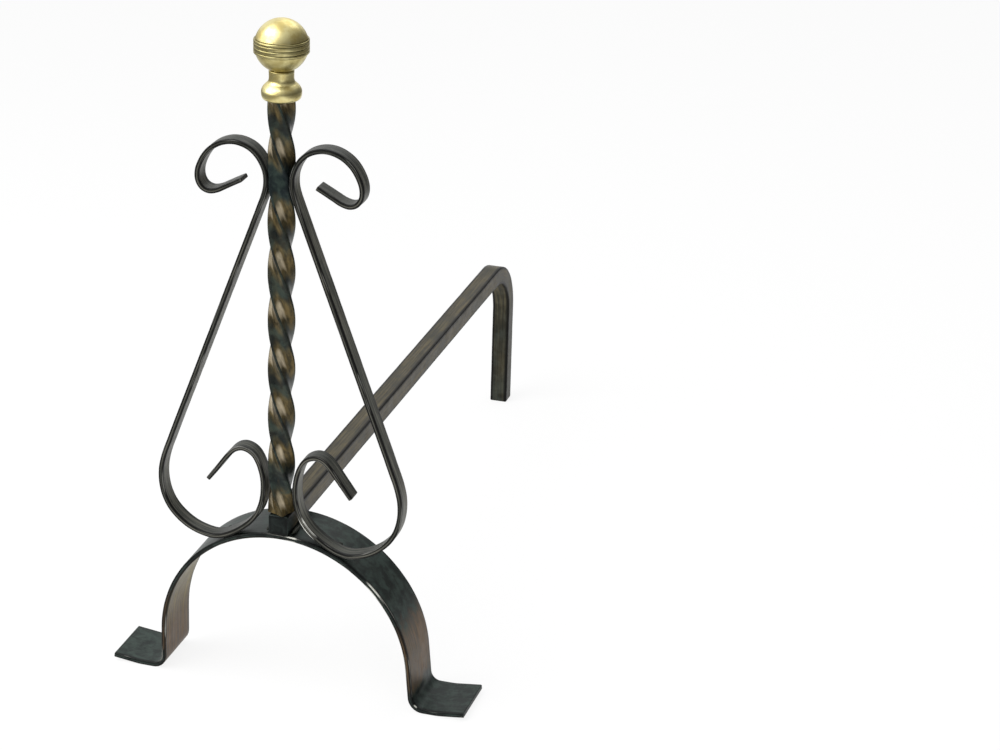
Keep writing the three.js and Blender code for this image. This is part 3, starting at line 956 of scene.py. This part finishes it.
@dataclass
class Finial:
    """The turned brass finial: a neck and flared collar, and a ball with a grooved belt."""

    seat: float = 377.1
    collar_height: float = 17.2
    collar_radius: float = 11.75
    neck_radius: float = 7.3
    bore: float = 3.3
    gap: float = 0.3
    ball_radius: float = 15.65
    belt_half: float = 4.2
    belt_stand: float = 0.4
    groove: float = 0.45
    stud_depth: float = 14.0
    swell: Sequence[tuple[float, float]] = (
        (0.55, 0.0), (0.78, 0.03), (0.91, 0.085), (0.98, 0.16), (1.0, 0.24), (0.98, 0.305),
        (0.89, 0.37), (0.73, 0.44), (0.47, 0.51), (0.2, 0.575), (0.05, 0.64), (0.0, 0.72),
        (0.0, 0.86), (0.0, 0.985), (-0.08, 1.0),
    )
    foot_crease: float = 1.6
    top_crease: float = 1.2
    ball_crease: float = 2.2
    bore_grime: float = 0.6

    def collar(self) -> list[tuple[float, float, float]]:
        """The collar's profile: radius, height and darkening of its tarnished creases."""
        span = self.collar_radius - self.neck_radius
        control = [
            Vector((self.neck_radius + span * out, self.seat + self.collar_height * up, 0))
            for out, up in self.swell
        ]
        line = smooth_line(control, steps=6)
        top = self.seat + self.collar_height
        profile = [(self.bore, self.seat, self.bore_grime)]
        for point in line:
            low = max(0.0, 1 - (point.y - self.seat) / self.foot_crease)
            high = max(0.0, 1 - (top - point.y) / self.top_crease)
            height = min(max(point.y, self.seat), top)
            profile.append((point.x, height, min(1.0, 0.8 * low + 0.15 * high)))
        profile.append((self.bore, top, self.bore_grime))
        return profile

    def ball(self) -> list[tuple[float, float, float]]:
        """The ball's profile: radius, height and darkening: tarnished creases and grooves, and
        painted shade on the underside.
        """
        seat = self.seat + self.collar_height + self.gap
        seat_radius = self.neck_radius - self.gap
        centre = seat + math.sqrt(self.ball_radius ** 2 - seat_radius ** 2)
        low = seat - centre
        profile = [
            (0.05, seat + self.stud_depth, 0.0),
            (self.bore, seat + self.stud_depth, 0.0),
            (self.bore, seat - 0.22, 0.3),
            (seat_radius - 0.1, seat - 0.22, 0.4),
        ]

        def arc(start: float, end: float, count: int) -> None:
            for step in range(count + 1):
                angle = start + (end - start) * step / count
                height = self.ball_radius * math.sin(angle)
                creased = 0.1 * max(0.0, 1 - (height - low) / self.ball_crease)
                # Painted shade: the ball's lower half is darkened, more towards the bottom.
                under = 0.6 * min(1.0, max(0.0, -1.8 * height / self.ball_radius))
                profile.append((self.ball_radius * math.cos(angle), centre + height,
                                max(creased, under)))

        rim = math.asin(self.belt_half / self.ball_radius)
        belt = self.ball_radius + self.belt_stand
        arc(math.asin(low / self.ball_radius), -rim, 22)
        edge = self.ball_radius * math.cos(rim)
        # The belt's rounded rim: radius, how far in from the rim, grime.
        rim_rows = ((edge - 0.12, 0.05, 1.0), (belt - 0.25, 0.14, 0.6), (belt - 0.06, 0.38, 0.5))
        for radius, inward, grime_and_shade in rim_rows:
            profile.append((radius, centre - self.belt_half + inward, grime_and_shade))
        for middle in (-self.belt_half * 0.6, 0.0, self.belt_half * 0.6):
            # One groove's section: place across it, depth as a share, grime.
            for across, sunk, grime_and_shade in (
                (-1.0, 0.0, 0.35), (-0.8, 0.04, 0.4), (-0.55, 0.5, 0.8), (-0.25, 0.92, 1.0),
                (0.0, 1.0, 1.0), (0.25, 0.92, 1.0), (0.55, 0.5, 0.8), (0.8, 0.04, 0.4),
                (1.0, 0.0, 0.35),
            ):
                profile.append((belt - sunk * self.groove, centre + middle + across * 0.5,
                                grime_and_shade))
        for radius, inward, grime_and_shade in reversed(rim_rows):
            profile.append((radius, centre + self.belt_half - inward, grime_and_shade))
        # The top stops just short of the pole, where a small flat closes it.
        arc(rim, math.pi / 2 - 0.02, 34)
        return profile

    def build(self, brass: bpy.types.Material, steel: bpy.types.Material) -> None:
        """Turns the finial's pieces and hands them in."""
        hand_in(turned_object("collar_turned", self.collar()),
                "finial_collar", brass)
        hand_in(turned_object("ball_turned", self.ball(), segments=160),
                "finial_ball", brass)
        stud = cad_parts["finial_stud"]
        stud.data.materials.clear()
        stud.data.materials.append(steel)
        LOG.info("finial_stud keeps its solid, inside the finial")


@dataclass
class Welds:
    """The small weld beads, each laid as overlapping ripples."""

    nodes: Sequence[str] = (
        "weld_post_foot", "weld_bar_left", "weld_bar_right", "weld_scroll_top_left",
        "weld_scroll_top_right", "weld_scroll_seat_left", "weld_scroll_seat_right",
    )
    ripple: float = 0.9
    ripple_depth: float = 0.07
    lump: float = 0.06
    lump_size: float = 1.4

    def bead(self, node: str) -> bpy.types.Object:
        """One rippled bead, filling its solid's box."""
        low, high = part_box(node)
        centre, half = (low + high) / 2, (high - low) / 2
        long_axis = max(range(3), key=lambda i: half[i])
        first, second = [i for i in range(3) if i != long_axis]
        rings, segments = 30, 24
        vertices: list[Vector] = []
        lays: list[float] = []
        shades_and_grime: list[float] = []
        for ring in range(rings + 1):
            polar = math.pi * (0.02 + 0.96 * ring / rings)
            run = -math.cos(polar) * half[long_axis] / MM
            ripple = abs(math.sin(math.pi * run / self.ripple))
            swell = 1 - self.ripple_depth + self.ripple_depth * ripple
            for step in range(segments):
                angle = math.tau * step / segments
                spot = Vector((0, 0, 0))
                spot[long_axis] = -math.cos(polar) * half[long_axis]
                spot[first] = math.sin(polar) * math.cos(angle) * half[first] * swell
                spot[second] = math.sin(polar) * math.sin(angle) * half[second] * swell
                lumps = noise.noise((centre + spot) / (self.lump_size * MM))
                vertices.append(centre + spot * (1 - self.lump * (0.5 + 0.5 * lumps)))
                lays.extend((run, step, 0.0))
                shades_and_grime.append(0.5)
        faces: list[Sequence[int]] = []
        for ring in range(rings):
            for i in range(segments):
                a, b = ring * segments + i, ring * segments + (i + 1) % segments
                faces.append((a, a + segments, b + segments, b))
        faces.append(tuple(range(segments)))
        faces.append(tuple(reversed(range(rings * segments, (rings + 1) * segments))))
        piece = mesh_object(f"bead_{node}", vertices, faces, lays, shades_and_grime)
        mesh = piece.data
        volume = sum(
            mesh.vertices[p.vertices[0]].co.dot(p.normal) * p.area for p in mesh.polygons)
        offset = sum(centre.dot(p.normal) * p.area for p in mesh.polygons)
        if volume - offset < 0:
            mesh.flip_normals()
        return piece

    def build(self, finish: bpy.types.Material) -> None:
        """Lays every bead and hands it in."""
        for node in self.nodes:
            hand_in(self.bead(node), node, finish)


# ---------------------------------------------------------------- studio


@dataclass(frozen=True)
class Lamp:
    """A soft square lamp: its offset from the spot it points at, its height and size in metres."""

    name: str
    offset: tuple[float, float]
    height: float
    size: float
    watts: float
    mirrored: bool = True

    def build(self, target: Vector) -> None:
        """Hangs the lamp."""
        data = bpy.data.lights.new(self.name, "AREA")
        data.shape = "SQUARE"
        data.size = self.size
        data.energy = self.watts
        lamp = bpy.data.objects.new(self.name, data)
        place = Vector((target.x + self.offset[0], target.y + self.offset[1], self.height))
        lamp.location = place
        lamp.rotation_mode = "QUATERNION"
        lamp.rotation_quaternion = (target - place).to_track_quat("-Z", "Y")
        lamp.visible_camera = False
        lamp.visible_glossy = self.mirrored
        bpy.context.scene.collection.objects.link(lamp)


@dataclass
class Studio:
    """A white table-top studio with soft lamps, and the camera at its tripod.

    The camera's distance, aim, lens and film are in millimetres, and the principal point
    is a share of the picture's width. The floor's reach and the sweep's half widths, where
    it starts and ends to fade, are in metres.
    """

    turn: float = math.radians(20.11)
    tilt: float = math.radians(22.49)
    distance: float = 1811.6
    aim_right: float = 0.25
    aim_up: float = 191.34
    lens: float = 105.59
    film: float = 36.0
    principal_across: float = 0.282
    floor_reach: float = 12.0
    floor_tone: str = "#f4f4f4"
    floor_glow: float = 0.86
    sweep: tuple[float, float] = (0.4, 0.75)
    lamps: Sequence[Lamp] = (
        Lamp("key_lamp", (-0.66, -0.45), 1.1, 1.15, 15.0),
        Lamp("front_lamp", (0.9, -1.1), 0.45, 0.5, 4.5, False),
        Lamp("back_lamp", (0.1, 0.9), 1.3, 0.9, 3.0),
    )

    def camera(self) -> None:
        """Sets the camera where the photograph was taken from."""
        a, e = self.turn, self.tilt
        right = Vector((math.cos(a), math.sin(a), 0))
        up = Vector((-math.sin(a) * math.sin(e), math.cos(a) * math.sin(e), math.cos(e)))
        back = right.cross(up)
        place = right * self.aim_right + up * self.aim_up + back * self.distance
        data = bpy.data.cameras.new("camera")
        data.sensor_width = self.film
        data.lens = self.lens
        data.shift_x = 0.5 - self.principal_across
        data.clip_start, data.clip_end = 0.05, 50.0
        camera = bpy.data.objects.new("camera", data)
        spin = Matrix((right, up, back)).transposed().to_4x4()
        camera.matrix_world = Matrix.Translation(AXIS + place * MM) @ spin
        bpy.context.scene.collection.objects.link(camera)
        bpy.context.scene.camera = camera

    def floor(self) -> None:
        """Lays the pale floor."""
        mesh = bpy.data.meshes.new("floor")
        corners = [(x * self.floor_reach, y * self.floor_reach, 0)
                   for x, y in ((-1, -1), (1, -1), (1, 1), (-1, 1))]
        mesh.from_pydata(corners, [], [(0, 1, 2, 3)])
        floor = bpy.data.objects.new("floor", mesh)
        bpy.context.scene.collection.objects.link(floor)
        material = bpy.data.materials.new("white_paper_floor")
        add = cleared(material)
        glossy = add(Kind.GLOSSY_RAY)
        shown = add(Kind.LARGER, add(Kind.LARGER, add(Kind.CAMERA_RAY), glossy),
                    add(Kind.CLEAR_RAY))
        # Mirrored in the brass, the paper is a sweep about a metre wide in a dim room.
        across = add(Kind.DOT, add(Kind.PLACE), (math.cos(self.turn), math.sin(self.turn), 0.0))
        aside = add(Kind.REMAP, add(Kind.UNSIGNED, across), *self.sweep, 0.0, 0.9)
        level = add(Kind.MINUS, 1.0, add(Kind.TIMES, glossy, aside))
        mixed = add(Kind.MIXED, add(Kind.TIMES, shown, self.floor_glow),
                    add(Kind.PAPER, linear(self.floor_tone)),
                    add(Kind.GLOW, (1, 1, 1, 1), level))
        add(Kind.SURFACE, mixed)
        mesh.materials.append(material)

    def world(self) -> None:
        """Makes the room: white behind the andiron, a dimmer studio in front of it."""
        world = bpy.data.worlds.new("studio")
        bpy.context.scene.world = world
        add = cleared(world)
        way = add(Kind.SKY_WAY)
        left = add(Kind.REMAP, add(Kind.X_OF, way), -0.9, 1.05, 1.0, 0.0)
        high = add(Kind.REMAP, add(Kind.Z_OF, way), -0.1, 1.0)
        lit = add(Kind.TIMES_PLUS, left, 0.62, add(Kind.TIMES, high, 0.4))
        room = add(Kind.REMAP, lit, 0.0, 0.95, 0.1, 0.95)
        facing = add(Kind.DOT, way, (-math.sin(self.turn), math.cos(self.turn), 0.0))
        behind = add(Kind.REMAP, facing, 0.76, 0.95)
        glossy = add(Kind.TIMES, add(Kind.GLOSSY_RAY), behind)
        shown = add(Kind.LARGER, add(Kind.LARGER, add(Kind.CAMERA_RAY), glossy),
                    add(Kind.CLEAR_RAY))
        level = add(Kind.LEVEL, shown, room, 1.0)
        add(Kind.ROOM, add(Kind.SKY, (1, 1, 1, 1), level))

    def build(self) -> None:
        """Sets up the whole studio."""
        self.camera()
        self.floor()
        self.world()
        middle = Vector((AXIS.x, AXIS.y, CAD_BOX[1].z * 0.55))
        for lamp in self.lamps:
            lamp.build(middle)
        bpy.context.scene.view_settings.view_transform = "Standard"


def main() -> None:
    """Builds the andiron's pieces in order, then the studio."""
    logging.basicConfig(level=logging.INFO, format="%(name)s: %(message)s")
    # Strap: green-black paint, brown bands on the lower legs, painted shade along its edges and on
    # what faces up, and painted glints on a few edges.
    strap_iron = BlackIron(
        "waxed_black_strap", paint="#141e1c", bloom="#36443f", inner_rub=0.9,
        worn="#70583d", rubbed="#423423", top_shade=0.2,
        # Painted glints on the arch's front edge, on a foot's bend and on the crown below the bar.
        glint_spots=((61, -5.5, 78, 8), (88, -5.5, 4, 1.6), (8, -5.5, 103.3, 4.5)),
        rub_by_height=((0.0, 0.0), (10.0, 0.05), (16.0, 0.95), (46.0, 0.95), (58.0, 0.03))).build()
    # Log bar: dull olive brown all along its faces, between edges darkened with painted shade, and
    # painted shade on what faces up.
    bar_iron = BlackIron(
        "bronze_rubbed_bar", rub_by_height=((0.0, 0.35), (70.0, 0.45), (104.0, 0.95)),
        worn="#665d46", rubbed="#383225", top_shade=0.25, edge_shade=0.9, glint=0.0,
        painted_start=16.0, specular=0.14, metallic=0.3).build()
    # Post: blue-green black, with a brown band of bronze wax that is painted light as well, and a
    # pale painted highlight, in each quarter turn.
    post_iron = BlackIron(
        "bronze_rubbed_twist", paint="#151e20", bloom="#333f3a", rub_by_height=(
            (0.0, 0.8), (128.0, 0.75), (138.0, 0.05), (152.0, 0.1), (300.0, 0.12),
            (318.0, 0.0), (338.0, 0.0), (346.0, 0.08)),
        rubbed="#3f3620", worn="#77653e", turn_rub_and_light=0.8, edge_shade=0.15, painted_highlight=1.0,
        highlight_tone="#c9bb9f", facing_turn=-44.9, quiet=((328.5, 8), (143, 9)),
        grain=Grain.HAMMERED, roughness=(0.26, 0.42), edge_rough=0.3, metallic=0.5,
        glint=0.0).build()
    # Strips: grey where the brush dragged, between edges darkened with painted shade, with painted
    # shade on what faces up and painted glints here and there.
    strip_iron = BlackIron(
        "waxed_black_strip", brush=0.9, brushed="#74746c", rub_by_height=((0.0, 0.12),),
        edge_shade=0.95, top_shade=0.8, glint_paint="#e0e0d8", glint=0.15, specular=0.19,
        # A painted glint on the right scroll's front edge.
        glint_spots=((18, -5.5, 112, 9),)).build()
    # Welds: the same paint over rough ripples, so they stay dull, darkened a little all over with
    # the painted edge shade.
    weld_iron = BlackIron(
        "blackened_weld", edge_shade=0.3, grain=Grain.WELDED, roughness=(0.42, 0.6)).build()
    brass = TurnedBrass().build()
    steel = ThreadedSteel().build()
    BaseStrap().build(strap_iron)
    LogBar().build(bar_iron)
    TwistedPost().build(post_iron)
    Scroll(Hand.LEFT).build(strip_iron)
    Scroll(Hand.RIGHT).build(strip_iron)
    Finial().build(brass, steel)
    Welds().build(weld_iron)
    Studio().build()


if __name__ == "__main__":
    main()
